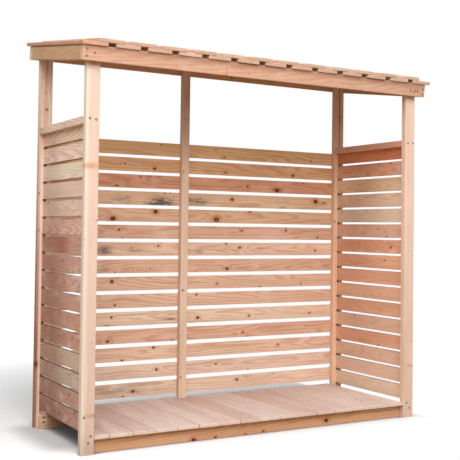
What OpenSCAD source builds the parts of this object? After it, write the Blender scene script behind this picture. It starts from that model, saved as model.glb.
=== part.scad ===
// Open-fronted log store: slotted posts, slatted sides and back, a plank deck
// and a board-on-board roof that falls towards the front.

/* [Overall] */
// Width over the outer faces of the corner posts
width = 2070; // [1500:10:3000]
// Depth over the front and back faces of the corner posts
depth = 730; // [500:10:1200]
// Height of the roof frame's lower edge at the front posts
eaves_height = 1894; // [1760:2:2400]
// Fall of the roof towards the front, in degrees
roof_slope = 8.8; // [4:0.2:14]

/* [Posts] */
// Width of a corner post, across the front
post_w = 70; // [60:1:100]
// Thickness of a corner post, front to back
post_t = 36; // [30:1:60]
// Width of the middle post
middle_post_w = 47; // [36:1:80]
// Distance from the left outer face to the middle post
middle_post_x = 878; // [300:2:1300]
// Distance from a corner post's outer face to its slot
slot_inset = 26; // [15:1:35]
// Depth of the slot down a corner post
slot_depth = 14; // [8:1:20]

/* [Side panels] */
// Height of the top of the side rails
rail_top = 1632; // [1500:2:1720]
// Thickness of a side rail
rail_h = 38; // [28:1:60]
// Depth of the groove under a side rail
rail_groove_depth = 15; // [8:1:20]
// Number of slats on one side
side_slat_count = 16; // [12:1:17]
// Width of a side slat
side_slat_h = 82; // [60:1:88]
// Height of the lowest side slat's lower edge
side_slat_foot = 101; // [92:1:200]

/* [Back panel] */
// Height of the top back slat's upper edge
back_top = 1597; // [1450:1:1720]
// Width of a back slat
back_slat_h = 79; // [60:1:90]
// Open height between the deck and the lowest back slat
back_foot_gap = 27; // [10:1:80]
// How much wider the lowest gap is than the top one
back_gap_growth = 7; // [0:0.5:14]
// Distance from the outer face of a back post to the slats' ends
back_slat_inset = 20; // [0:1:40]

/* [Slats] */
// Thickness of every side and back slat
slat_t = 17; // [12:0.5:20]

/* [Deck] */
// Height of a bearer
bearer_h = 70; // [50:1:72]
// Thickness of a bearer
bearer_t = 36; // [28:1:60]
// Distance from a post's outer face to a bearer's end
bearer_inset = 20; // [0:1:40]
// Width of a deck board
deck_board_w = 122; // [90:1:150]
// Thickness of a deck board
deck_board_t = 18; // [15:0.5:20]

/* [Roof] */
// Thickness of a roof beam
roof_beam_t = 38; // [30:1:60]
// Height of a roof beam, square to the roof
roof_beam_h = 75; // [60:1:110]
// Number of roof boards in the lower layer
roof_board_count = 13; // [11:1:15]
// Width of a roof board
roof_board_w = 130; // [110:1:140]
// Thickness of a roof board
roof_board_t = 19; // [15:0.5:28]
// Overhang of the boards past the left roof beam
roof_over_left = 6; // [0:1:80]
// Overhang of the boards past the right roof beam
roof_over_right = 30; // [0:1:80]
// Overhang of the boards past the front roof beam
roof_over_front = 10; // [0:1:80]
// Overhang of the boards past the back roof beam
roof_over_back = 50; // [0:1:100]

/* [Clearances] */
// Play of a slat in its slot, on each face
slat_play = 0.4; // [0.1:0.1:0.8]
// Room behind a slat's end at the bottom of a slot
slat_end_play = 0.5; // [0.2:0.1:0.9]
// Open joint between two deck boards
deck_joint = 1.2; // [0.4:0.1:3]
// Room between the deck and the corner posts
deck_play = 0.8; // [0.2:0.1:0.9]

/* [Hidden] */
back_slat_count = 15;
narrowest_deck_board = 40;

function two_digits(i) = i < 10 ? str("0", i) : str(i);

timber = "burlywood";
board = "tan";
slat = "sandybrown";

// Roof frame, measured along the slope: the front beam's inner lower edge lies on the front posts,
// and the back beam's inner upper edge lies on the back posts.
roof_inner = (depth + roof_beam_h * sin(roof_slope)) / cos(roof_slope);
roof_front = -roof_beam_t - roof_over_front;
roof_back = roof_inner + roof_beam_t + roof_over_back;
roof_left = -roof_beam_t - roof_over_left;
roof_right = width + roof_beam_t + roof_over_right;
roof_board_gap = (roof_right - roof_left - roof_board_count * roof_board_w) / (roof_board_count - 1);
roof_board_pitch = roof_board_w + roof_board_gap;
roof_top = roof_beam_h + 2 * roof_board_t;

// Middle of the ground under the whole store, which is the origin
origin_x = (roof_left + roof_right) / 2;
front_reach = roof_front * cos(roof_slope) - roof_top * sin(roof_slope);
back_reach = max(roof_back * cos(roof_slope) - roof_beam_h * sin(roof_slope), depth + slat_t);
origin_y = (front_reach + back_reach) / 2;

slot_w = slat_t + 2 * slat_play;
deck_top = bearer_h + deck_board_t;
post_blank_h = eaves_height + roof_top + roof_back;

// Side slats run from the rail's groove down to their foot
side_slat_top = rail_top - rail_h + rail_groove_depth - slat_end_play;
side_slat_pitch = (side_slat_top - side_slat_h - side_slat_foot) / (side_slat_count - 1);
side_slat_end = post_t - slot_depth + slat_end_play;

// Back slats: the gaps grow evenly from the top one to the lowest one
back_foot = deck_top + back_foot_gap;
back_gap_mean = (back_top - back_foot - back_slat_count * back_slat_h) / (back_slat_count - 1);
back_gap_step = back_gap_growth / (back_slat_count - 2);
back_gap_first = back_gap_mean - back_gap_growth / 2;
function back_slat_top(i) = back_top - i * (back_slat_h + back_gap_first) - back_gap_step * i * (i - 1) / 2;

// Deck boards are laid from the right, and the one at the left is ripped to what is left over
deck_left = post_w + deck_play;
deck_right = width - post_w - deck_play;
deck_pitch = deck_board_w + deck_joint;
deck_full_count = floor((deck_right - deck_left - narrowest_deck_board) / deck_pitch);
deck_ripped_w = deck_right - deck_left - deck_full_count * deck_pitch;

module in_place() {
    translate([-origin_x, -origin_y, 0]) children();
}

// Turns what is drawn flat into the roof's slope, with Y running up the slope
module on_slope() {
    in_place() translate([0, 0, eaves_height]) rotate([roof_slope, 0, 0]) children();
}

module mirrored_across(is_right) {
    if (is_right) translate([width, 0, 0]) mirror([1, 0, 0]) children();
    else children();
}

module space_above_boards_underside() {
    translate([0, 0, eaves_height])
        rotate([roof_slope, 0, 0])
            translate([roof_left, roof_front - roof_top, roof_beam_h])
                cube([roof_right - roof_left, roof_back - roof_front + 2 * roof_top, post_blank_h]);
}

// Left front post in plan, with the slot in the face that looks to the back
module slotted_plan() {
    difference() {
        square([post_w, post_t]);
        translate([slot_inset, post_t - slot_depth]) square([slot_w, slot_depth]);
    }
}

module corner_post(is_right, is_back) {
    color(timber) in_place()
        difference() {
            mirrored_across(is_right)
                linear_extrude(post_blank_h)
                    translate([0, is_back ? depth : 0])
                        mirror([0, is_back ? 1 : 0])
                            slotted_plan();
            space_above_boards_underside();
        }
}

module back_middle_post() {
    color(timber) in_place()
        difference() {
            translate([middle_post_x, depth - post_t, deck_top])
                cube([middle_post_w, post_t, post_blank_h]);
            space_above_boards_underside();
        }
}

module side_rail(is_right) {
    color(timber) in_place()
        mirrored_across(is_right)
            difference() {
                translate([0, post_t, rail_top - rail_h])
                    cube([post_w, depth - 2 * post_t, rail_h]);
                translate([slot_inset, post_t, rail_top - rail_h])
                    cube([slot_w, depth - 2 * post_t, rail_groove_depth]);
            }
}

module side_slats(is_right) {
    color(slat) in_place()
        mirrored_across(is_right)
            for (i = [0 : side_slat_count - 1])
                translate([slot_inset + slat_play, side_slat_end,
                           side_slat_top - side_slat_h - i * side_slat_pitch])
                    cube([slat_t, depth - 2 * side_slat_end, side_slat_h]);
}

module back_slat(i) {
    color(slat) in_place()
        translate([back_slat_inset, depth, back_slat_top(i) - back_slat_h])
            cube([width - 2 * back_slat_inset, slat_t, back_slat_h]);
}

module bearer(front_face) {
    color(timber) in_place()
        translate([bearer_inset, front_face, 0])
            cube([width - 2 * bearer_inset, bearer_t, bearer_h]);
}

module deck_board(x, w) {
    translate([x, 0, bearer_h]) cube([w, depth + slat_t, deck_board_t]);
}

module deck_boards() {
    color(board) in_place() {
        deck_board(deck_left, deck_ripped_w);
        for (i = [1 : deck_full_count])
            deck_board(deck_right - i * deck_pitch + deck_joint, deck_board_w);
    }
}

module cross_beam(front_face) {
    color(timber) on_slope()
        translate([-roof_beam_t, front_face, 0])
            cube([width + 2 * roof_beam_t, roof_beam_t, roof_beam_h]);
}

module side_beam(left_face) {
    color(timber) on_slope()
        translate([left_face, 0, 0]) cube([roof_beam_t, roof_inner, roof_beam_h]);
}

module roof_boards(count, first_x, underside) {
    color(board) on_slope()
        for (i = [0 : count - 1])
            translate([first_x + i * roof_board_pitch, roof_front, underside])
                cube([roof_board_w, roof_back - roof_front, roof_board_t]);
}

module roof_lower_boards() {
    roof_boards(roof_board_count, roof_left, roof_beam_h);
}

module roof_upper_boards() {
    roof_boards(roof_board_count - 1, roof_left + roof_board_pitch / 2, roof_beam_h + roof_board_t);
}

corner_post(false, false);  // front_left_post
corner_post(true, false);  // front_right_post
corner_post(false, true);  // back_left_post
corner_post(true, true);  // back_right_post
back_middle_post();
side_rail(false);  // left_side_rail
side_rail(true);  // right_side_rail
side_slats(false);  // left_side_slats
side_slats(true);  // right_side_slats
bearer(post_t);  // front_bearer
bearer(depth - post_t - bearer_t);  // back_bearer
deck_boards();
cross_beam(-roof_beam_t);  // front_roof_beam
cross_beam(roof_inner);  // back_roof_beam
side_beam(-roof_beam_t);  // left_roof_beam
side_beam(width);  // right_roof_beam
roof_lower_boards();
roof_upper_boards();
for (i = [0 : back_slat_count - 1])
    back_slat(i);
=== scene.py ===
import math
import random

import bmesh
import bpy
from mathutils import Matrix, Vector


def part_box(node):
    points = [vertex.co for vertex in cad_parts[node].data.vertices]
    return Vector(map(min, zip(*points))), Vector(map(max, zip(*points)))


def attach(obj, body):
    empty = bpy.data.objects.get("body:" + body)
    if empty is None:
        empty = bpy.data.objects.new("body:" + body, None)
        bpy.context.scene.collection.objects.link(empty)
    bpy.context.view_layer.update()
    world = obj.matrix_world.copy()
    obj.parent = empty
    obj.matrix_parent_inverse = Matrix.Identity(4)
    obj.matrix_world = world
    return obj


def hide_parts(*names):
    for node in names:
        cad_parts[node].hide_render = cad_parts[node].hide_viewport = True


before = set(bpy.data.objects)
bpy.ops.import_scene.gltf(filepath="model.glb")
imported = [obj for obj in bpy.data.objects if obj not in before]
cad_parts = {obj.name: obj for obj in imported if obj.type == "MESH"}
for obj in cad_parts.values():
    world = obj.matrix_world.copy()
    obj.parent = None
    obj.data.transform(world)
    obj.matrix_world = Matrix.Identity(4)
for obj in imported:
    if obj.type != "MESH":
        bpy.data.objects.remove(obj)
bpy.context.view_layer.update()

# Camera
# It stands in front of the open side, well to the left, a little above the middle of the store,
# and looks almost level. The upright shift keeps the posts as upright as the photograph has them.
eye = Vector((-2.6374, -4.5020, 1.0892))
heading, lift, lean = math.radians(30.15), math.radians(1.63), math.radians(0.75)
photo_side = 460
focal_pixels, centre_above_middle = 911.0, 26.4
lens = bpy.data.cameras.new("photo_lens")
lens.sensor_fit = "HORIZONTAL"
lens.sensor_width = 36.0
lens.lens = lens.sensor_width * focal_pixels / photo_side
lens.shift_y = -centre_above_middle / photo_side
lens.clip_end = 200.0
camera = bpy.data.objects.new("photo_camera", lens)
camera.matrix_world = (
    Matrix.Translation(eye)
    @ Matrix.Rotation(-heading, 4, "Z")
    @ Matrix.Rotation(math.pi / 2 + lift, 4, "X")
    @ Matrix.Rotation(lean, 4, "Z")
)
bpy.context.scene.collection.objects.link(camera)
bpy.context.scene.camera = camera
bpy.context.scene.view_settings.view_transform = "Standard"


# Floor and light
# A pale level floor that runs out to white, with shade close under the store and beside its left wall. A faint even
# sky and four broad lamps light it: one high in front, two more to its left and one that brightens the left side.
def feed(tree, socket, value):
    if isinstance(value, bpy.types.NodeSocket):
        tree.links.new(value, socket)
    else:
        socket.default_value = value


def add_node(tree, kind, values=(), output=0, **settings):
    made = tree.nodes.new("ShaderNode" + kind)
    for key, setting in settings.items():
        setattr(made, key, setting)
    for place, value in values.items() if isinstance(values, dict) else enumerate(values):
        feed(tree, made.inputs[place], value)
    return made.outputs[output]


def math_node(tree, operation, *values):
    return add_node(tree, "Math", values, operation=operation)


def between(tree, value, start, end):
    """Runs smoothly from 0 at the start to 1 at the end."""
    return add_node(tree, "MapRange", (value, start, end, 0.0, 1.0), interpolation_type="SMOOTHSTEP")


def seen_directly(tree):
    """1 for rays from the eye, a mirror or glass, 0 for light that bounces."""
    rays = tree.nodes.new("ShaderNodeLightPath").outputs
    mirrored = math_node(tree, "MAXIMUM", rays["Is Glossy Ray"], rays["Is Transmission Ray"])
    return math_node(tree, "MAXIMUM", rays["Is Camera Ray"], mirrored)


# Where the floor is shaded and where it has run out to white, in metres
floor_reach = 30.0
shade_middle, shade_edge = (0.2, 0.0, 0.0), (1.55, 2.8)
white_line, white_beside, white_behind = (0.946, -0.324, 0.0), (-1.03, -0.73), (0.6, 1.35)
white_right, white_front = (1.04, 1.12), (-0.37, -0.47)
wall_shade, wall_left, wall_front, wall_back = 0.45, (-1.24, -1.07), (-0.34, -0.12), (0.50, 0.30)
close_by, shut_in_to_open = 0.25, (0.15, 0.55)
dark_floor, pale_floor, floor_glow = (0.10, 0.10, 0.10, 1), (0.93, 0.93, 0.93, 1), 0.03
bounce_colour = (0.38, 0.29, 0.20, 1)
floor_bmesh = bmesh.new()
bmesh.ops.create_circle(floor_bmesh, cap_ends=True, segments=64, radius=floor_reach)
floor_mesh = bpy.data.meshes.new("floor")
floor_bmesh.to_mesh(floor_mesh)
floor_bmesh.free()
floor = bpy.data.objects.new("floor", floor_mesh)
bpy.context.scene.collection.objects.link(floor)
floor_paint = bpy.data.materials.new("pale_floor")
floor_paint.use_nodes = True
tree = floor_paint.node_tree
tree.nodes.clear()
openness = add_node(tree, "AmbientOcclusion", {"Distance": close_by}, output=1, samples=8)
openness = between(tree, openness, *shut_in_to_open)
here = add_node(tree, "TexCoord", output=3)
here_x, here_y = add_node(tree, "SeparateXYZ", (here,)).node.outputs[:2]
by_wall = math_node(tree, "MULTIPLY", between(tree, here_x, *wall_left), between(tree, here_y, *wall_front))
by_wall = math_node(tree, "MULTIPLY", by_wall, between(tree, here_y, *wall_back))
lit = math_node(tree, "MULTIPLY", openness, math_node(tree, "MULTIPLY_ADD", by_wall, -wall_shade, 1.0))
ground = add_node(tree, "Mix", {0: lit, 6: dark_floor, 7: pale_floor}, output=2, data_type="RGBA")
shown = add_node(tree, "BsdfDiffuse", {"Color": ground})
glow = add_node(tree, "Emission", {"Color": (1, 1, 1, 1), "Strength": floor_glow})
shown = add_node(tree, "AddShader", (shown, glow))
bounced = add_node(tree, "BsdfDiffuse", {"Color": bounce_colour})
from_shade = add_node(tree, "VectorMath", (here, shade_middle), operation="SUBTRACT")
far = add_node(tree, "VectorMath", (from_shade,), output=1, operation="LENGTH")
fade = add_node(tree, "MapRange", (far, *shade_edge, 0.0, 1.0))
beside = add_node(tree, "VectorMath", (here, white_line), output=1, operation="DOT_PRODUCT")
behind = math_node(tree, "MULTIPLY", between(tree, beside, *white_beside), between(tree, here_y, *white_behind))
outside = math_node(tree, "MAXIMUM", between(tree, here_x, *white_right), between(tree, here_y, *white_front))
fade = math_node(tree, "MAXIMUM", math_node(tree, "MAXIMUM", fade, behind), outside)
fade = math_node(tree, "MULTIPLY", fade, openness)
white = add_node(tree, "Emission", {"Color": (1, 1, 1, 1), "Strength": 1.0})
shown = add_node(tree, "MixShader", (fade, shown, white))
surface = add_node(tree, "MixShader", (seen_directly(tree), bounced, shown))
tree.links.new(surface, tree.nodes.new("ShaderNodeOutputMaterial").inputs["Surface"])
floor_mesh.materials.append(floor_paint)

sky = bpy.data.worlds.new("even_sky")
bpy.context.scene.world = sky
sky.use_nodes = True
tree = sky.node_tree
tree.nodes.clear()
sky_light = add_node(tree, "Background", {"Color": (0.98, 0.99, 1.0, 1), "Strength": 0.3})
sky_white = add_node(tree, "Background", {"Color": (1, 1, 1, 1), "Strength": 1.0})
sky_surface = add_node(tree, "MixShader", (seen_directly(tree), sky_light, sky_white))
tree.links.new(sky_surface, tree.nodes.new("ShaderNodeOutputWorld").inputs["Surface"])

lamp_side, lamp_away, lamp_aim = 4.0, 7.0, Vector((0.0, 0.0, 1.0))


def soft_lamp(name, from_left, height, energy):
    """A broad lamp aimed at the store, at angles from straight ahead towards the left and from the floor."""
    data = bpy.data.lights.new(name, "AREA")
    data.shape = "SQUARE"
    data.size = lamp_side
    data.energy = energy
    lamp = bpy.data.objects.new(name, data)
    side, rise = math.radians(from_left), math.radians(height)
    towards = Vector((-math.sin(side) * math.cos(rise), -math.cos(side) * math.cos(rise), math.sin(rise)))
    lamp.location = lamp_aim + towards * lamp_away
    lamp.rotation_euler = towards.to_track_quat("Z", "Y").to_euler()
    bpy.context.scene.collection.objects.link(lamp)


soft_lamp("front_lamp", from_left=2.0, height=38.0, energy=225.0)
soft_lamp("near_lamp", from_left=25.0, height=25.0, energy=175.0)
soft_lamp("high_lamp", from_left=45.0, height=45.0, energy=160.0)
soft_lamp("left_lamp", from_left=85.0, height=35.0, energy=105.0)


# Corner posts
# Four planed softwood posts with eased corners. Each has a slot run down the face that looks along
# the side, which takes the ends of the side slats, and a top cut to the fall of the roof.
def shared_figure():
    """Growth rings, knots, stains and cut ends of planed softwood, read from the boards' own attributes."""
    tree = bpy.data.node_groups.new("timber_figure", "ShaderNodeTree")
    for name in ("Ring Width", "Ring Contrast", "Wander", "Swirl", "Streaks", "Milky"):
        tree.interface.new_socket(name, in_out="INPUT", socket_type="NodeSocketFloat")
    for name, kind in (("Color", "Color"), ("Roughness", "Float"), ("Height", "Float")):
        tree.interface.new_socket(name, in_out="OUTPUT", socket_type="NodeSocket" + kind)
    given = tree.nodes.new("NodeGroupInput").outputs
    put_out = tree.nodes.new("NodeGroupOutput").inputs

    def calc(operation, *values):
        return math_node(tree, operation, *values)

    def squared(value):
        return calc("MULTIPLY", value, value)

    def attribute(name):
        return add_node(tree, "Attribute", output=1, attribute_name=name)

    def parts(vector):
        return add_node(tree, "SeparateXYZ", (vector,)).node.outputs

    def ramp(value, low, high):
        return between(tree, value, low, high)

    def blend(kind, fade, colour, other):
        return add_node(tree, "Mix", {0: fade, 6: colour, 7: other}, output=2,
                        data_type="RGBA", blend_type=kind, clamp_factor=True)

    def tinted(fade, colour, factor):
        return blend("MULTIPLY", fade, colour, (*factor, 1))

    def painted(fade, colour, paint):
        return blend("MIX", fade, colour, paint if isinstance(paint, bpy.types.NodeSocket) else (*paint, 1))

    grain, tone = attribute("grain"), attribute("tone")
    along, across, through = parts(grain)
    pith_across, pith_through, seed = parts(attribute("pith"))
    rise, boldness, milkiness = parts(attribute("habit"))
    sawn, corner, sap_radius = parts(attribute("cut"))
    knot_along, knot_across, knot_size = parts(attribute("knot"))
    stain_along, stain_across, stain_strength = parts(attribute("stain"))
    apart = add_node(tree, "CombineXYZ", [calc("MULTIPLY", seed, stride) for stride in (7.31, 3.17, 5.73)])

    def noise(lengthwise, crosswise, detail=2.0, roughness=0.5, output=0):
        """Noise with so many waves to the metre along and across the grain, different on every board."""
        stretched = add_node(tree, "VectorMath", (grain, (lengthwise, crosswise, crosswise)), operation="MULTIPLY")
        place = add_node(tree, "VectorMath", (stretched, apart), operation="ADD")
        return add_node(tree, "TexNoise", {"Vector": place, "Scale": 1.0, "Detail": detail, "Roughness": roughness},
                        output=output)

    # Growth rings round a pith that wanders and rises along the board, pushed aside by the knot
    wander, swirl = parts(noise(1.1, 5.0, 3.0, output=1)), calc("SUBTRACT", noise(3.0, 5.0, 1.0), 0.5)
    pith_across = calc("MULTIPLY_ADD", calc("SUBTRACT", wander[0], 0.5), given["Wander"], pith_across)
    pith_through = calc("MULTIPLY_ADD", along, rise, pith_through)
    pith_through = calc("MULTIPLY_ADD", calc("SUBTRACT", wander[1], 0.5), given["Wander"], pith_through)
    pith_through = calc("MULTIPLY_ADD", swirl, given["Swirl"], pith_through)
    radius = calc("SQRT", calc("ADD", squared(calc("SUBTRACT", across, pith_across)),
                               squared(calc("SUBTRACT", through, pith_through))))
    pushed = calc("EXPONENT", calc("MULTIPLY", calc("ADD", calc("MULTIPLY", squared(knot_along), 0.06),
                                                    calc("MULTIPLY", squared(knot_across), 0.22)), -1.0))
    radius = calc("MULTIPLY_ADD", calc("MULTIPLY", pushed, calc("MAXIMUM", knot_size, 0.0)), 1.6, radius)
    ring = calc("MULTIPLY_ADD", noise(0.8, 60.0, 1.0), 1.3, calc("DIVIDE", radius, given["Ring Width"]))
    in_ring = calc("FRACT", ring)
    late = calc("MULTIPLY", ramp(in_ring, 0.30, 0.82), calc("SUBTRACT", 1.0, ramp(in_ring, 0.84, 1.0)))

    # The board's tone, in blotches, with darker late wood, fibres, streaks and flecks
    dullest, brightest, late_wood = (0.82, 0.77, 0.72), (1.15, 1.17, 1.18), (0.70, 0.47, 0.34)
    fibre_shade, streak_shade, fleck_shade = (0.86, 0.82, 0.78), (0.62, 0.42, 0.34), (0.55, 0.42, 0.36)
    blotch = noise(2.6, 14.0, 3.0)
    dull, bright = tinted(1.0, tone, dullest), tinted(1.0, tone, brightest)
    colour = painted(blotch, dull, bright)
    contrast = calc("MULTIPLY", given["Ring Contrast"], boldness)
    colour = tinted(calc("MULTIPLY", late, contrast), colour, late_wood)
    fibre = noise(16.0, 520.0)
    colour = tinted(calc("MULTIPLY", fibre, 0.35), colour, fibre_shade)
    streak = ramp(noise(1.6, 75.0, 4.0, 0.6), 0.55, 0.72)
    colour = tinted(calc("MULTIPLY", streak, given["Streaks"]), colour, streak_shade)
    flecks = ramp(noise(60.0, 1500.0), 0.66, 0.74)
    colour = tinted(calc("MULTIPLY", flecks, 0.3), colour, fleck_shade)

    # Cream sapwood outside the heartwood, and pale milky patches where the plane lifted the grain
    sapwood, milky_white = (0.79, 0.66, 0.53), (0.80, 0.66, 0.57)
    sap = ramp(calc("SUBTRACT", radius, sap_radius), -0.002, 0.006)
    colour = painted(calc("MULTIPLY", sap, 0.85), colour, sapwood)
    milk = calc("MULTIPLY", ramp(noise(9.0, 14.0, 3.0), 0.52, 0.72), calc("MULTIPLY", given["Milky"], milkiness))
    colour = painted(milk, colour, milky_white)

    # Grey-black stain: a smoky wash, with darker streaks and specks in its middle. Below 0 it is an even brown painted
    # shade.
    painted_shade_brown, grey_wash, black_mould = (0.36, 0.20, 0.13), (0.42, 0.43, 0.45), (0.045, 0.038, 0.034)
    spot = calc("EXPONENT", calc("MULTIPLY", calc("ADD", squared(stain_along), squared(stain_across)), -1.0))
    painted_shade = ramp(calc("MULTIPLY", spot, stain_strength), 0.0, -0.8)
    colour = tinted(painted_shade, colour, painted_shade_brown)
    patch = calc("MAXIMUM", calc("MULTIPLY", spot, stain_strength), 0.0)
    wash = calc("MULTIPLY", ramp(patch, 0.0, 0.8), ramp(noise(7.0, 34.0, 5.0, 0.65), 0.38, 0.62))
    colour = tinted(calc("MULTIPLY", wash, 0.8), colour, grey_wash)
    mould = ramp(calc("MULTIPLY_ADD", patch, 0.20, noise(24.0, 110.0, 6.0, 0.75)), 0.62, 0.80)
    mould = calc("MULTIPLY", mould, ramp(patch, 0.15, 0.7))
    colour = painted(calc("MULTIPLY", mould, 0.85), colour, black_mould)

    # A knot: an orange flame round a dark heart, fainter in small ones and with a paler middle in large ones
    knot_flame, knot_heart, knot_rim = (0.84, 0.54, 0.38), (0.12, 0.033, 0.020), (0.058, 0.018, 0.012)
    knot_middle, knot_roundness = (0.36, 0.15, 0.085), 1.8
    ragged = calc("SUBTRACT", noise(55.0, 55.0), 0.5)
    flame = calc("LESS_THAN", knot_size, 0.0)
    along_reach = calc("MULTIPLY", calc("ABSOLUTE", knot_along), calc("MULTIPLY_ADD", flame, 0.9, 0.75))
    across_reach = calc("MULTIPLY", calc("ABSOLUTE", knot_across), calc("MULTIPLY_ADD", flame, -0.55, 1.0))
    reach = calc("ADD", calc("POWER", along_reach, knot_roundness), calc("POWER", across_reach, knot_roundness))
    reach = calc("POWER", reach, 1 / knot_roundness)
    reach = calc("MULTIPLY_ADD", ragged, 0.7, calc("MULTIPLY", reach, 0.9))
    halo_inside, halo_outside = calc("MULTIPLY_ADD", flame, -0.7, 0.8), calc("MULTIPLY_ADD", flame, -0.9, 3.2)
    halo = calc("SUBTRACT", 1.0, ramp(reach, halo_inside, halo_outside))
    halo = calc("MULTIPLY", halo, ramp(calc("ABSOLUTE", knot_size), 0.002, 0.012))
    colour = tinted(calc("MULTIPLY", halo, 0.85), colour, knot_flame)
    heart = calc("MULTIPLY", calc("SUBTRACT", 1.0, ramp(reach, 0.80, 1.20)), ramp(knot_size, 0.0, 0.0005))
    heart = calc("MULTIPLY", heart, calc("MULTIPLY_ADD", ramp(knot_size, 0.004, 0.010), 0.25, 0.75))
    middle = calc("MULTIPLY", calc("SUBTRACT", 1.0, ramp(reach, 0.2, 0.55)), ramp(knot_size, 0.0115, 0.0135))
    heart_colour = blend("MIX", middle, (*knot_heart, 1), (*knot_middle, 1))
    rim = calc("MULTIPLY", ramp(reach, 0.5, 0.85), heart)
    heart_colour = painted(rim, heart_colour, knot_rim)
    colour = painted(heart, colour, heart_colour)

    # Sawn ends are more alike and rougher, and worn corners paler
    sawn_end, worn_corner = (0.86, 0.59, 0.45), (0.86, 0.70, 0.57)
    colour = painted(calc("MULTIPLY", sawn, 0.3), colour, sawn_end)
    worn = calc("MULTIPLY", corner, ramp(blotch, 0.35, 0.6))
    colour = painted(calc("MULTIPLY", worn, 0.25), colour, worn_corner)
    feed(tree, put_out["Color"], colour)

    rough = calc("MULTIPLY_ADD", late, -0.10, calc("MULTIPLY_ADD", fibre, 0.12, 0.56))
    feed(tree, put_out["Roughness"], calc("MULTIPLY_ADD", sawn, 0.15, rough))
    height = calc("MULTIPLY_ADD", late, 0.00010, calc("MULTIPLY", fibre, 0.00008))
    feed(tree, put_out["Height"], calc("MULTIPLY_ADD", rim, -0.0002, height))
    return tree


timber_figure = shared_figure()


def timber_finish(name, ring_width, ring_contrast, wander, swirl, streaks, milky):
    material = bpy.data.materials.new(name)
    material.use_nodes = True
    tree = material.node_tree
    shader = tree.nodes["Principled BSDF"]
    figure = tree.nodes.new("ShaderNodeGroup")
    figure.node_tree = timber_figure
    for socket, value in zip(figure.inputs, (ring_width, ring_contrast, wander, swirl, streaks, milky)):
        socket.default_value = value
    tree.links.new(figure.outputs["Color"], shader.inputs["Base Color"])
    tree.links.new(figure.outputs["Roughness"], shader.inputs["Roughness"])
    shader.inputs["Specular IOR Level"].default_value = 0.18
    relief = add_node(tree, "Bump", {"Strength": 0.7, "Distance": 1.0, "Height": figure.outputs["Height"]})
    tree.links.new(relief, shader.inputs["Normal"])
    return material


LAYERS = (("verts", "grain"), ("faces", "pith"), ("faces", "habit"), ("faces", "cut"), ("faces", "tone"),
          ("loops", "knot"), ("loops", "stain"))


def new_layers(bm):
    return {name: getattr(bm, domain).layers.float_vector.new(name) for domain, name in LAYERS}

far_off = 9.0  # farther than any board reaches


def dress(piece, bm, lo, hi, axes, tone, dice, knots=(), stains=(), pith=None, rise=None, bold=1.0, milky=1.0,
          sap=far_off, bow=0.0006, edge=1.0, end=1.0):
    """Cuts a board between its knots, gives it its own grain, bows it a little and adds it to the piece.
    From the board's middle, knots are (along, across, size), with a size below 0 for a flame that has no heart,
    and stains are (along, across, length, height, strength), with a strength below 0 for an even brown painted shade.
    Narrow faces and sawn ends are darkened by the factors edge and end."""
    along, across, through = axes
    middle = (lo + hi) / 2
    length = (hi - lo)[along]
    way = Vector([1.0 if i == along else 0.0 for i in range(3)])
    cuts = {0.0, -length / 4, length / 4}
    for marks in (sorted(knots), sorted(stains)):
        cuts.update((a[0] + b[0]) / 2 for a, b in zip(marks, marks[1:]))
    for place in sorted(cuts):
        bmesh.ops.bisect_plane(bm, geom=bm.verts[:] + bm.edges[:] + bm.faces[:],
                               plane_co=middle + way * place, plane_no=way)
    layers = new_layers(bm)
    if pith is None:
        pith = (dice.uniform(-0.05, 0.05), dice.choice((-1, 1)) * dice.uniform(0.03, 0.11))
    if rise is None:
        rise = dice.uniform(-0.04, 0.04)
    seed = dice.uniform(0.0, 40.0)
    knots = [(a, b, abs(size), abs(size), size) for a, b, size in knots]
    nowhere = (far_off, far_off, 1.0, 1.0, 0.0)
    bm.normal_update()
    for vert in bm.verts:
        place = vert.co - middle
        vert[layers["grain"]] = (place[along], place[across], place[through])
    for face in bm.faces:
        centre = (face.calc_center_median() - middle)[along]
        squareness = max(abs(n) for n in face.normal)
        face[layers["pith"]] = (pith[0], pith[1], seed)
        face[layers["habit"]] = (rise, bold, milky)
        face[layers["cut"]] = (float(abs(face.normal[along]) > 0.9), float(squareness < 0.98), sap)
        shade = edge if abs(face.normal[across]) > 0.5 else end if abs(face.normal[along]) > 0.5 else 1.0
        face[layers["tone"]] = Vector(tone) * shade
        for layer, marks in (("knot", knots), ("stain", stains)):
            a, b, length_there, height_there, strength = min(marks, key=lambda m: abs(m[0] - centre), default=nowhere)
            for loop in face.loops:
                place = loop.vert.co - middle
                loop[layers[layer]] = ((place[along] - a) / length_there, (place[across] - b) / height_there, strength)
    bend, phase = dice.uniform(-bow, bow), dice.uniform(-1.0, 1.0)
    for vert in bm.verts:
        share = (vert.co - middle)[along] / length
        vert.co[through] += bend * math.cos(math.pi * (share + 0.2 * phase))
    scrap = bpy.data.meshes.new("scrap")
    bm.to_mesh(scrap)
    bm.free()
    piece.from_mesh(scrap)
    bpy.data.meshes.remove(scrap)


def start_piece():
    piece = bmesh.new()
    new_layers(piece)
    return piece


def put_in_scene(bm, name, material, turn=None):
    if turn:
        bmesh.ops.transform(bm, matrix=turn, verts=bm.verts[:])
    mesh = bpy.data.meshes.new(name)
    bm.to_mesh(mesh)
    bm.free()
    mesh.materials.append(material)
    mesh.shade_smooth()
    mesh.set_sharp_from_angle(angle=math.radians(40))
    obj = bpy.data.objects.new(name, mesh)
    bpy.context.scene.collection.objects.link(obj)
    obj.modifiers.new("flat_faces", "WEIGHTED_NORMAL").keep_sharp = True
    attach(obj, "root")
    return obj


def finish_piece(piece, node, material, turn=None):
    obj = put_in_scene(piece, node + "_timber", material, turn)
    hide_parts(node)


def eased(bm, edges, offset):
    bmesh.ops.bevel(bm, geom=edges, offset=offset, offset_type="OFFSET", affect="EDGES", segments=3, profile=0.5,
                    material=-1)


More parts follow.
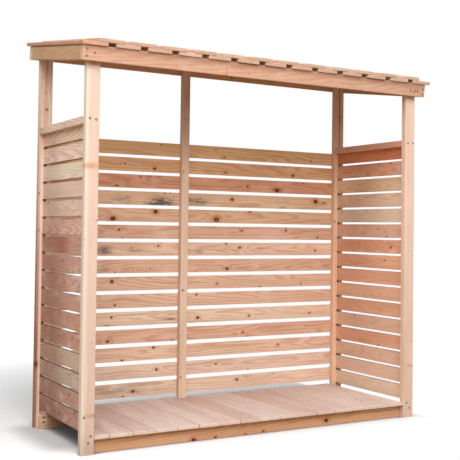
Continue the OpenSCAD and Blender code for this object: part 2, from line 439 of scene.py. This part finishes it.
def eased_box(lo, hi, offset):
    bm = bmesh.new()
    bmesh.ops.create_cube(bm, size=1.0, matrix=Matrix.Translation((lo + hi) / 2) @ Matrix.Diagonal((*(hi - lo), 1.0)))
    eased(bm, bm.edges[:], offset)
    return bm


def swept(outline, way):
    """A solid drawn out from a flat outline."""
    bm = bmesh.new()
    end = bm.faces.new([bm.verts.new(point) for point in outline])
    far = bmesh.ops.extrude_face_region(bm, geom=[end])["geom"]
    bmesh.ops.translate(bm, verts=[v for v in far if isinstance(v, bmesh.types.BMVert)], vec=way)
    return bm


def cut_to_roof(bm, highest):
    bmesh.ops.bisect_plane(bm, geom=bm.verts[:] + bm.edges[:] + bm.faces[:], plane_co=highest, plane_no=roof_up,
                           clear_outer=True)
    bmesh.ops.holes_fill(bm, edges=[e for e in bm.edges if e.is_boundary])
    bmesh.ops.recalc_face_normals(bm, faces=bm.faces[:])


def outer_edges(bm, lo, hi, run):
    """The long edges of a piece's left and right faces, which run the way of one axis."""
    long, flush = (hi - lo)[run] / 2, 1e-5
    return [e for e in bm.edges if abs(e.verts[0].co[run] - e.verts[1].co[run]) > long
            and min(abs(e.verts[0].co.x - lo.x), abs(e.verts[0].co.x - hi.x)) < flush]


def node_box(node):
    return tuple(Vector(corner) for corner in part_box(node))


X, Y, Z = 0, 1, 2
roof_up = max((p.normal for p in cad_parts["roof_upper_boards"].data.polygons), key=lambda n: n.z).copy()
slot_inset, slot_width, slot_depth = 0.026, 0.0178, 0.014
slot_ends = slot_inset, slot_inset + slot_width
post_ease, post_rise, post_bow, spare = 0.0035, -0.004, 0.0004, 0.05
post_finish = timber_finish("post_timber", ring_width=0.0036, ring_contrast=0.36, wander=0.012,
                            swirl=0.0, streaks=0.25, milky=0.0)
# Stains of strength below 0 are painted shade: down the back left post's left face, darker downwards, and at the front
# left post's foot
for node, right, back, tone, pith, sap, knots, stains in (
    ("front_left_post", False, False, (0.81, 0.63, 0.53), (0.075, 0.03), 0.101,
     ((0.895, 0.0, -0.012), (0.875, -0.022, 0.0025), (0.400, -0.014, -0.016), (0.136, 0.027, 0.003),
      (0.044, -0.032, 0.002), (-0.45, 0.012, 0.002), (-0.80, 0.03, -0.012)),
     ((-0.98, 0.0, 0.12, far_off, -0.28),)),
    ("front_right_post", True, False, (0.88, 0.66, 0.53), (-0.09, 0.04), 0.2,
     ((0.42, -0.020, 0.002), (0.13, -0.005, -0.005), (-0.04, 0.030, 0.003), (-0.33, 0.030, -0.006),
      (-0.54, 0.030, -0.007), (-0.686, 0.016, -0.010)), ()),
    ("back_left_post", False, True, (0.94, 0.74, 0.62), (0.012, 0.05), 0.2,
     ((0.787, 0.0, 0.003), (0.694, 0.007, 0.0045), (0.232, -0.030, 0.004), (0.03, -0.030, 0.004),
      (-0.697, -0.032, 0.009)),
     ((-0.90, -0.035, 1.5, 0.012, -0.84),)),
    ("back_right_post", True, True, (0.88, 0.60, 0.42), (0.09, -0.05), 0.2,
     ((0.80, 0.01, 0.002), (0.66, 0.024, 0.003), (0.11, -0.028, 0.005), (-0.6, 0.01, 0.003)), ()),
):
    lo, hi = node_box(node)
    wide, deep = hi.x - lo.x, hi.y - lo.y
    plan = [(0, 0), (wide, 0), (wide, deep), (slot_ends[1], deep), (slot_ends[1], deep - slot_depth),
            (slot_ends[0], deep - slot_depth), (slot_ends[0], deep), (0, deep)]
    bm = swept([(hi.x - u if right else lo.x + u, hi.y - v if back else lo.y + v, lo.z) for u, v in plan],
               (0, 0, hi.z - lo.z + spare))
    cut_to_roof(bm, hi)
    eased(bm, outer_edges(bm, lo, hi, Z), post_ease)
    piece = start_piece()
    dress(piece, bm, lo, hi, (Z, X, Y), tone, random.Random(node), knots, stains, pith=pith, rise=post_rise, sap=sap,
          bow=post_bow)
    finish_piece(piece, node, post_finish)

# Middle post
# A narrower planed softwood post that stands on the deck inside the back slats, which are screwed to it. Its top is
# cut to the fall of the roof, like those of the corner posts.
middle_ease, middle_tone, middle_pith = 0.003, (0.79, 0.605, 0.465), (0.06, 0.03)
middle_knots = (0.66, -0.006, 0.003), (0.345, -0.015, 0.004), (-0.36, -0.010, 0.005), (-0.874, -0.015, 0.004)
lo, hi = node_box("back_middle_post")
bm = eased_box(lo, hi + Vector((0, 0, spare)), middle_ease)
cut_to_roof(bm, hi)
piece = start_piece()
dress(piece, bm, lo, hi, (Z, X, Y), middle_tone, random.Random("middle post"), middle_knots, pith=middle_pith, rise=0.0)
finish_piece(piece, "back_middle_post", post_finish)

# Side rails
# A planed softwood rail lies flat between the posts over each side, screwed through the front post, with a groove
# underneath for the top slat. Painted shade browns the left one at its back end.
rail_groove, rail_ease = 0.015, 0.003
rail_finish = timber_finish("rail_timber", ring_width=0.004, ring_contrast=0.5, wander=0.03,
                            swirl=0.0, streaks=0.35, milky=0.1)
for node, right, tone, knots, painted_shade in (
    ("left_side_rail", False, (0.83, 0.67, 0.56), ((0.17, 0.0, 0.004), (-0.06, 0.0, 0.004)),
     ((0.33, 0.0, 0.14, far_off, -0.32),)),
    ("right_side_rail", True, (0.70, 0.41, 0.27), ((0.2, 0.0, 0.003), (-0.02, 0.02, 0.004)), ()),
):
    lo, hi = node_box(node)
    wide, high = hi.x - lo.x, hi.z - lo.z
    section = [(0, 0), (slot_ends[0], 0), (slot_ends[0], rail_groove), (slot_ends[1], rail_groove), (slot_ends[1], 0),
               (wide, 0), (wide, high), (0, high)]
    bm = swept([(hi.x - u if right else lo.x + u, lo.y, lo.z + v) for u, v in section], (0, hi.y - lo.y, 0))
    bmesh.ops.recalc_face_normals(bm, faces=bm.faces[:])
    eased(bm, outer_edges(bm, lo, hi, Y), rail_ease)
    piece = start_piece()
    dress(piece, bm, lo, hi, (Y, Z, X), tone, random.Random(node), knots, painted_shade)
    finish_piece(piece, node, rail_finish)

# Side slats
# Sixteen thin softwood slats on each side, slid into the posts' slots with narrow gaps between them. They are from many
# trees, so they run from cream and tan to pink and red-brown, and painted shade browns them towards the back.
CREAM, PALE_TAN, TAN = (0.81, 0.68, 0.54), (0.79, 0.60, 0.46), (0.74, 0.52, 0.35)
OLIVE, AMBER = (0.85, 0.565, 0.315), (0.77, 0.47, 0.26)
LIGHT_PINK, PALE_PINK, PEACH, APRICOT = (0.88, 0.67, 0.56), (0.78, 0.59, 0.47), (0.78, 0.55, 0.42), (0.74, 0.50, 0.37)
SALMON, PINK, ORANGE, DEEP_PINK = (0.75, 0.42, 0.28), (0.71, 0.45, 0.33), (0.70, 0.46, 0.31), (0.74, 0.39, 0.26)
ROSE, RED_BROWN, CLAY = (0.68, 0.35, 0.22), (0.64, 0.24, 0.11), (0.70, 0.47, 0.37)
SAGE, DUSKY, BROWN = (0.58, 0.41, 0.30), (0.57, 0.34, 0.26), (0.51, 0.29, 0.21)
slat_ease, side_slat_height = 0.0025, 0.082
# The slats' narrow faces are darkened as painted shade in the gaps, most on the upper slats of the left wall
slat_edge_painted_shade, upper_left_edge_painted_shade, upper_left_count = 0.35, 0.12, 9
slat_rise, pith_across, pith_clear, half_slat_length = (0.03, 0.08), (-0.03, 0.03), (0.012, 0.035), 0.33
side_finish = timber_finish("side_slat_timber", ring_width=0.0085, ring_contrast=0.55, wander=0.03,
                            swirl=0.03, streaks=0.3, milky=0.8)
# Each slat's tone, how bold and how milky its figure is, and its knots, from the top slat down
side_slats = {
    # The left wall's tones darken from the top slat down, partly the timbers' own colour and partly painted shade
    "left_side_slats": (
        ((0.86, 0.63, 0.48), 1.2, 0.3, ((0.17, -0.032, 0.005),)),
        (LIGHT_PINK, 1.0, 0.5, ((-0.19, 0.036, 0.003),)),
        (CREAM, 0.8, 0.2, ()),
        (PALE_PINK, 0.25, 0.6, ((0.28, -0.03, 0.004),)),
        (PALE_PINK, 0.6, 0.5, ((0.24, 0.034, 0.006), (-0.14, 0.032, 0.004))),
        (CLAY, 1.3, 0.3, ((0.02, 0.03, 0.004),)),
        (BROWN, 0.8, 0.4, ((0.013, 0.0, -0.09),)),
        (DUSKY, 1.2, 0.6, ((0.0, 0.016, 0.006),)),
        (DUSKY, 1.4, 0.8, ((-0.19, 0.019, 0.005),)),
        (BROWN, 0.5, 0.7, ()),
        ((0.49, 0.26, 0.18), 0.6, 0.5, ((0.15, -0.021, 0.005),)),
        (BROWN, 1.2, 0.8, ((0.15, -0.03, 0.005),)),
        (SAGE, 1.0, 0.2, ()),
        ((0.57, 0.43, 0.34), 1.2, 0.3, ()),
        (BROWN, 0.7, 0.7,
         ((0.21, -0.007, 0.004), (0.1, -0.005, 0.004), (-0.1, -0.012, 0.005), (-0.13, 0.010, 0.006))),
        ((0.47, 0.26, 0.20), 1.2, 0.8, ((0.02, -0.01, 0.005), (-0.21, 0.032, 0.007))),
    ),
    "right_side_slats": (
        (RED_BROWN, 0.4, 0.0, ((0.11, -0.03, -0.008), (-0.08, -0.034, 0.004))),
        (ROSE, 0.7, 0.6, ((-0.09, 0.034, 0.005), (-0.2, 0.03, 0.005))),
        (TAN, 0.7, 0.2, ()),
        (PALE_TAN, 0.8, 0.2, ((0.29, -0.027, 0.003), (0.25, -0.027, 0.003))),
        ((0.74, 0.61, 0.48), 0.4, 0.2, ()),
        (PINK, 0.6, 0.5, ((-0.09, 0.012, 0.004), (-0.17, -0.034, 0.005))),
        ((0.73, 0.38, 0.25), 0.5, 0.8, ((-0.21, -0.005, 0.006),)),
        (SALMON, 0.4, 0.2, ((-0.15, 0.01, 0.005),)),
        (SALMON, 0.35, 0.2, ()),
        ((0.75, 0.46, 0.31), 0.35, 0.2, ()),
        (SALMON, 0.4, 0.2, ()),
        (APRICOT, 0.5, 0.2, ((0.14, 0.03, 0.005),)),
        (DEEP_PINK, 0.4, 0.2, ((-0.1, -0.038, 0.005),)),
        (APRICOT, 0.4, 0.3, ((0.06, 0.027, -0.009),)),
        (PEACH, 0.4, 0.2, ((0.05, 0.0, 0.003),)),
        (PALE_TAN, 0.4, 0.3, ((0.04, 0.015, 0.003), (-0.03, 0.02, 0.003))),
    ),
}
# Down to which slat, the painted shade's place, reach and strength along it, and how much lighter its unshaded timber
# is
side_painted_shade = {
    "left_side_slats": (
        (3, (0.22, 0.20, -0.31), (1.13, 1.15, 1.18)),
        (6, (0.20, 0.30, -0.34), (1.16, 1.15, 1.21)),
        (12, (0.18, 0.30, -0.48), (1.33, 1.39, 1.45)),
        (16, (0.18, 0.30, -0.46), (1.25, 1.33, 1.41)),
    ),
    "right_side_slats": (
        (1, (0.20, 0.30, 0.0), (1.0, 1.0, 1.0)),
        (3, (0.065, 0.20, -0.32), (1.15, 1.20, 1.22)),
        (5, (0.14, 0.34, -0.34), (1.15, 1.17, 1.18)),
        (8, (0.17, 0.34, -0.335), (1.20, 1.24, 1.26)),
        (11, (0.25, 0.45, -0.225), (1.10, 1.13, 1.15)),
        (13, (0.10, 0.30, -0.26), (1.13, 1.18, 1.20)),
        (16, (0.20, 0.35, -0.16), (1.08, 1.10, 1.12)),
    ),
}
for node, slats in side_slats.items():
    dice = random.Random(node)
    lo, hi = node_box(node)
    pitch = (hi.z - lo.z - side_slat_height) / (len(slats) - 1)
    piece = start_piece()
    for i, (tone, bold, milky, knots) in enumerate(slats):
        top = Vector((hi.x, hi.y, hi.z - i * pitch))
        low = Vector((lo.x, lo.y, top.z - side_slat_height))
        rise = dice.choice((-1, 1)) * dice.uniform(*slat_rise)
        across = dice.uniform(*pith_across)
        pith = across, dice.choice((-1, 1)) * (abs(rise) * half_slat_length + dice.uniform(*pith_clear))
        (place, reach, strength), unshaded_lift = next(row[1:] for row in side_painted_shade[node] if i < row[0])
        painted_shade = ((place, 0.0, reach, far_off, strength),)
        tone = [a * b for a, b in zip(tone, unshaded_lift)]
        upper_left = node == "left_side_slats" and i < upper_left_count
        dress(piece, eased_box(low, top, slat_ease), low, top, (Y, Z, X), tone, dice, knots, painted_shade, pith=pith, rise=rise,
              bold=bold, milky=milky, edge=upper_left_edge_painted_shade if upper_left else slat_edge_painted_shade)
    finish_piece(piece, node, side_finish)

# Bearers
# Two planed softwood bearers stand on edge on the ground, behind the front posts and in front of the back posts, to
# which they are screwed. They carry the deck.
bearer_ease = 0.003
bearer_finish = timber_finish("bearer_timber", ring_width=0.006, ring_contrast=0.55, wander=0.045,
                              swirl=0.015, streaks=0.4, milky=0.1)
for node, tone, knots in (
    ("front_bearer", (0.77, 0.45, 0.26), ((-0.406, -0.03, 0.009), (-0.277, -0.028, 0.006), (-0.094, -0.032, 0.005),
                                          (0.019, -0.026, 0.006), (0.435, -0.008, 0.009))),
    ("back_bearer", (0.74, 0.52, 0.34), ((-0.6, 0.01, 0.006), (0.3, -0.012, 0.008))),
):
    lo, hi = node_box(node)
    piece = start_piece()
    dress(piece, eased_box(lo, hi, bearer_ease), lo, hi, (X, Z, Y), tone, random.Random(node), knots)
    finish_piece(piece, node, bearer_finish)


# Deck boards
# Planed softwood boards laid side by side from front to back on the bearers, the last one on the left ripped down.
# Their front ends are sawn a little unevenly and small dark knots speckle them. Painted shade browns them to the back.
def chance_knots(dice, length, width, per_metre, smallest, largest):
    count = int(length * per_metre + dice.random())
    gap = length / max(count, 1)
    return [(-length / 2 + gap * (i + dice.uniform(0.1, 0.9)), width * dice.uniform(-0.42, 0.42),
             dice.uniform(smallest, largest)) for i in range(count)]


deck_board_width, deck_joint, deck_ease, deck_unevenness = 0.122, 0.0012, 0.003, 0.004
# The boards' narrow faces are darkened as painted shade in the joints
deck_knots, deck_joint_painted_shade = (5.5, 0.002, 0.0045), 0.6
deck_finish = timber_finish("deck_timber", ring_width=0.006, ring_contrast=0.3, wander=0.04,
                            swirl=0.01, streaks=0.3, milky=0.3)
deck_tones = ((0.77, 0.63, 0.58), (0.73, 0.58, 0.52), (0.80, 0.68, 0.63), (0.71, 0.55, 0.48))
# Painted shade browns the boards towards the back
deck_painted_shade = ((0.37, 0.0, 0.4, far_off, -0.28),)
dice = random.Random("deck boards")
lo, hi = node_box("deck_boards")
piece = start_piece()
right_edge = hi.x
while right_edge - lo.x > deck_joint:
    left_edge = max(right_edge - deck_board_width, lo.x)
    low, top = Vector((left_edge, lo.y + dice.uniform(0.0, deck_unevenness), lo.z)), Vector((right_edge, hi.y, hi.z))
    knots = chance_knots(dice, hi.y - lo.y, right_edge - left_edge, *deck_knots)
    dress(piece, eased_box(low, top, deck_ease), low, top, (Y, X, Z), dice.choice(deck_tones), dice, knots, deck_painted_shade,
          bow=0.0, edge=deck_joint_painted_shade)
    right_edge = left_edge - deck_joint
finish_piece(piece, "deck_boards", deck_finish)

# Back slats
# Fifteen planed softwood slats screwed across the backs of the posts, with gaps that grow a little downwards.
# Several carry dark knots, and some are stained grey-black in smears.
back_finish = timber_finish("back_slat_timber", ring_width=0.0075, ring_contrast=0.5, wander=0.045,
                            swirl=0.02, streaks=0.5, milky=0.2)
# Each slat's tone, knots and stains, from the top slat down
back_slats = (
    (OLIVE, ((0.15, -0.026, 0.006), (0.09, 0.02, 0.004), (-0.28, 0.029, 0.004), (0.8, -0.019, 0.005)), ()),
    (AMBER,
     ((-0.51, 0.002, 0.005), (-0.32, -0.018, 0.007), (0.16, -0.021, 0.006), (0.59, 0.029, 0.004),
      (0.66, -0.019, 0.007)),
     ()),
    (ROSE,
     ((0.32, -0.005, 0.006), (-0.41, 0.028, 0.005), (-0.56, -0.03, 0.006), (0.54, -0.023, 0.010),
      (0.74, 0.029, 0.005)),
     ((-0.5, 0.0, 0.03, 0.02, 0.4), (-0.35, 0.03, 0.025, 0.008, 0.8), (0.54, -0.02, 0.04, 0.012, 0.9))),
    (TAN,
     ((-0.49, 0.010, 0.003), (-0.252, 0.033, 0.0045), (-0.217, 0.034, 0.004), (-0.196, 0.014, 0.003),
      (0.21, 0.009, 0.008), (0.84, 0.013, 0.011)),
     ((-0.52, -0.014, 0.08, 0.028, 0.8), (-0.27, -0.024, 0.10, 0.034, 1.3), (-0.04, -0.008, 0.09, 0.032, 0.9),
      (0.59, -0.034, 0.04, 0.01, 0.8), (0.9, 0.006, 0.03, 0.012, 1.1))),
    (ORANGE, ((-0.58, -0.024, 0.011), (-0.31, 0.022, 0.010), (0.1, -0.018, 0.013), (0.34, 0.036, 0.007)), ()),
    (PINK,
     ((-0.54, 0.012, 0.006), (-0.52, -0.034, 0.004), (0.28, 0.015, 0.006), (0.61, 0.019, 0.006),
      (0.86, -0.024, 0.006)),
     ()),
    (PEACH,
     ((-0.29, 0.02, 0.006), (0.17, 0.034, 0.006), (0.27, 0.009, 0.007), (0.84, -0.009, 0.006)),
     ((-0.63, -0.01, 0.06, 0.03, 1.1), (-0.45, 0.0, 0.06, 0.025, 0.8), (-0.02, -0.01, 0.04, 0.03, 0.6),
      (0.42, 0.0, 0.05, 0.02, 0.4))),
    (PINK,
     ((-0.56, -0.035, 0.004), (-0.45, -0.025, 0.004), (-0.34, -0.02, 0.004), (0.18, -0.02, 0.008)),
     ((-0.64, -0.01, 0.04, 0.03, 0.6),)),
    (APRICOT, ((-0.58, 0.014, 0.008), (0.11, -0.01, 0.006), (0.42, -0.035, 0.005), (0.73, -0.021, 0.005)), ()),
    (APRICOT, ((-0.56, -0.022, 0.006), (-0.03, 0.027, 0.006)), ()),
    ((0.81, 0.62, 0.48),
     ((-0.58, 0.011, 0.006), (-0.02, -0.01, 0.008), (0.34, -0.01, 0.006), (0.8, -0.008, 0.006)),
     ((-0.2, -0.012, 0.06, 0.008, 1.0), (-0.6, -0.036, 0.05, 0.006, 0.8))),
    (PINK, ((-0.6, -0.022, 0.007), (-0.19, -0.037, 0.006), (0.3, -0.012, 0.006)), ()),
    (PEACH, ((-0.31, 0.031, 0.007), (-0.51, -0.036, 0.007), (0.56, 0.003, 0.006)), ()),
    (PALE_PINK, ((-0.29, 0.004, 0.007), (0.11, 0.014, 0.006), (0.34, -0.036, 0.005)), ()),
    (PALE_TAN,
     ((-0.44, -0.009, 0.008), (-0.5, -0.036, 0.006), (0.26, 0.01, 0.007)),
     ((-0.50, 0.0, 0.34, 0.05, 0.55),)),
)
for number, (tone, knots, stains) in enumerate(back_slats, 1):
    node = "back_slat_%02d" % number
    lo, hi = node_box(node)
    piece = start_piece()
    dress(piece, eased_box(lo, hi, slat_ease), lo, hi, (X, Z, Y), tone, random.Random(node), knots, stains)
    finish_piece(piece, node, back_finish)

# Roof frame
# Four planed softwood beams on edge make a frame tilted with the roof, screwed to the posts from outside.
# Painted shade browns them along the top, under the ends of the boards.
roof_turn = Matrix.Rotation(math.atan2(-roof_up.y, roof_up.z), 4, "X")


def tilted_box(node):
    """A node's lowest and highest corners, measured square to the roof."""
    flat = [roof_turn.inverted() @ v.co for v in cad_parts[node].data.vertices]
    return tuple(Vector([pick(p[i] for p in flat) for i in range(3)]) for pick in (min, max))


beam_ease = 0.004
roof_frame_finish = timber_finish("roof_frame_timber", ring_width=0.007, ring_contrast=0.36, wander=0.04,
                                  swirl=0.012, streaks=0.3, milky=0.15)
for node, axes, tone, knots, painted_shade in (
    ("front_roof_beam", (X, Z, Y), (0.70, 0.435, 0.31),
     ((-0.574, -0.02, -0.006), (-0.344, -0.018, 0.002), (-0.283, -0.027, -0.009), (-0.145, -0.014, 0.003),
      (0.182, -0.02, -0.006), (0.72, -0.01, 0.002)), (0.036, -0.45)),
    ("back_roof_beam", (X, Z, Y), (0.70, 0.44, 0.27), ((-0.5, 0.01, 0.006), (0.2, -0.01, 0.006)), (0.036, -0.5)),
    ("left_roof_beam", (Y, Z, X), (0.59, 0.375, 0.215), ((0.2, -0.012, 0.003),), (0.008, -0.9)),
    ("right_roof_beam", (Y, Z, X), (0.70, 0.44, 0.28), ((-0.1, 0.01, 0.006),), (0.008, -0.9)),
):
    lo, hi = tilted_box(node)
    piece = start_piece()
    # A band of painted shade along each beam's top, under the ends of the boards
    painted_shade_under_boards = (0.0, (hi.z - lo.z) / 2, far_off, *painted_shade)
    dress(piece, eased_box(lo, hi, beam_ease), lo, hi, axes, tone, random.Random(node), knots, (painted_shade_under_boards,))
    finish_piece(piece, node, roof_frame_finish, roof_turn)

# Roof boards
# Two layers of planed softwood boards run down the slope, the upper ones screwed over the gaps of the lower ones.
# Their front ends are sawn a little unevenly.
roof_board_width, roof_board_ease, roof_unevenness, roof_end_shade = 0.130, 0.003, 0.005, 0.72
roof_knots, first_board_tone, first_board_edge_shade = (2.5, 0.003, 0.008), (0.75, 0.41, 0.24), 0.72
roof_layers = {"roof_lower_boards": 13, "roof_upper_boards": 12}
roof_board_finish = timber_finish("roof_board_timber", ring_width=0.007, ring_contrast=0.5, wander=0.04,
                                  swirl=0.02, streaks=0.4, milky=0.2)
roof_tones = (APRICOT, PALE_TAN, PINK, TAN, PALE_PINK, ORANGE)
for node, count in roof_layers.items():
    dice = random.Random(node)
    lo, hi = tilted_box(node)
    pitch = (hi.x - lo.x - roof_board_width) / (count - 1)
    piece = start_piece()
    for i in range(count):
        low = Vector((lo.x + i * pitch, lo.y + dice.uniform(0.0, roof_unevenness), lo.z))
        top = Vector((low.x + roof_board_width, hi.y, hi.z))
        knots = chance_knots(dice, hi.y - lo.y, roof_board_width, *roof_knots)
        tone, edge = dice.choice(roof_tones), 1.0
        if node == "roof_lower_boards" and i == 0:
            tone, edge = first_board_tone, first_board_edge_shade
        dress(piece, eased_box(low, top, roof_board_ease), low, top, (Y, X, Z), tone, dice, knots, edge=edge,
              end=roof_end_shade)
    finish_piece(piece, node, roof_board_finish, roof_turn)


# Screws
# Zinc-plated wood screws with flat round heads and star recesses, driven almost flush, each in a dark ring of painted
# shade round its head. They hold the roof frame, the rails, the bearers, the back slats and the roof boards.
def speckled(name, dark, light, roughness, metallic):
    material = bpy.data.materials.new(name)
    material.use_nodes = True
    tree = material.node_tree
    shader = tree.nodes["Principled BSDF"]
    shader.inputs["Metallic"].default_value = metallic
    mottle = add_node(tree, "TexNoise", {"Vector": add_node(tree, "TexCoord", output=3), "Scale": 900.0, "Detail": 3.0})
    mixed = add_node(tree, "Mix", {0: mottle, 6: (*dark, 1), 7: (*light, 1)}, output=2, data_type="RGBA")
    tree.links.new(mixed, shader.inputs["Base Color"])
    tree.links.new(add_node(tree, "MapRange", (mottle, 0.3, 0.7, *roughness)), shader.inputs["Roughness"])
    return material


zinc = speckled("zinc_screws", dark=(0.05, 0.046, 0.042), light=(0.22, 0.22, 0.21), roughness=(0.4, 0.65),
                metallic=0.85)
# A near-black ring round each screw head, painted shade where the head sinks in
countersink_painted_shade = speckled("countersink_shade_ring", dark=(0.03, 0.018, 0.012), light=(0.09, 0.055, 0.035), roughness=(0.7, 0.9),
                   metallic=0.0)
head_radius, ring_radius, head_proud, ring_sunk = 0.0048, 0.0076, 0.0006, 0.0008
recess_radius, recess_depth, star_dent, head_sides = 0.0026, 0.0018, 0.72, 24
bm = bmesh.new()
bmesh.ops.create_cone(bm, cap_ends=True, segments=head_sides, radius1=ring_radius, radius2=head_radius,
                      depth=head_proud + ring_sunk, matrix=Matrix.Translation((0, 0, (head_proud - ring_sunk) / 2)))
crown = max(bm.faces, key=lambda f: f.calc_center_median().z)
for face in bm.faces:
    face.material_index = int(face != crown)
bmesh.ops.inset_region(bm, faces=[crown], thickness=head_radius - recess_radius, use_even_offset=True)
for i, vert in enumerate(crown.verts):
    vert.co.xy *= star_dent if i % 4 in (0, 1) else 1.0
sunk = bmesh.ops.extrude_discrete_faces(bm, faces=[crown])["faces"][0]
bmesh.ops.translate(bm, verts=sunk.verts[:], vec=(0, 0, -recess_depth))
screw_mesh = bpy.data.meshes.new("screw_head")
bm.to_mesh(screw_mesh)
bm.free()


def screw_head(bm, place, outward):
    """One head on a face, at a point of the face and looking the way the face looks."""
    before = len(bm.verts)
    bm.from_mesh(screw_mesh)
    bm.verts.ensure_lookup_table()
    turn = Vector(outward).to_track_quat("Z", "Y").to_matrix().to_4x4()
    bmesh.ops.transform(bm, matrix=Matrix.Translation(place) @ turn, verts=bm.verts[before:])


# Places across from the left post's outer face or the beam's end, and up from the ground, the slat's middle or the
# beam's lower edge
post_screws = (
    (0.020, 1.617), (0.052, 1.613), (2.020, 1.613), (2.057, 1.615), (0.051, 0.090), (0.039, 0.058), (0.016, 0.181),
    (2.025, 0.085), (2.042, 0.055),
)
bearer_screws = (0.042, 0.061), (0.042, 0.035)
slat_screws = (0.043, 0.02), (0.062, -0.02), (0.894, -0.02), (0.910, -0.02), (2.008, -0.02), (2.027, 0.02)
beam_screws = (
    (0.020, 0.054), (0.020, 0.021), (0.061, 0.039), (2.131, 0.045), (2.131, 0.014), (2.091, 0.035), (2.069, 0.032),
    (2.037, 0.033),
)
board_screw_shares = 0.25, 0.75
left, front = node_box("front_left_post")[0].xy
screws = bmesh.new()
for x, z in post_screws:
    screw_head(screws, (left + x, front, z), (0, -1, 0))
back_bearer_front = node_box("back_bearer")[0].y
for x, z in bearer_screws:
    screw_head(screws, (left + x, back_bearer_front, z), (0, -1, 0))
back_face = node_box("back_slat_01")[1].y
for number in range(1, len(back_slats) + 1):
    lo, hi = node_box("back_slat_%02d" % number)
    for x, above_middle in slat_screws:
        screw_head(screws, (left + x, back_face, (lo.z + hi.z) / 2 + above_middle), (0, 1, 0))
put_in_scene(screws, "post_screws", zinc).data.materials.append(countersink_painted_shade)

roof_screws = bmesh.new()
for node, outward in (("front_roof_beam", -1), ("back_roof_beam", 1)):
    lo, hi = tilted_box(node)
    face = lo.y if outward < 0 else hi.y
    for x, up in beam_screws:
        screw_head(roof_screws, (lo.x + x if outward < 0 else hi.x - x, face, lo.z + up), (0, outward, 0))
lo, hi = tilted_box("roof_upper_boards")
beams = [sum(c.y for c in tilted_box(node)) / 2 for node in ("front_roof_beam", "back_roof_beam")]
upper_count = roof_layers["roof_upper_boards"]
for i in range(upper_count):
    for y in beams:
        for share in board_screw_shares:
            x = lo.x + i * (hi.x - lo.x - roof_board_width) / (upper_count - 1) + roof_board_width * share
            screw_head(roof_screws, (x, y, hi.z), (0, 0, 1))
put_in_scene(roof_screws, "roof_screws", zinc, roof_turn).data.materials.append(countersink_painted_shade)
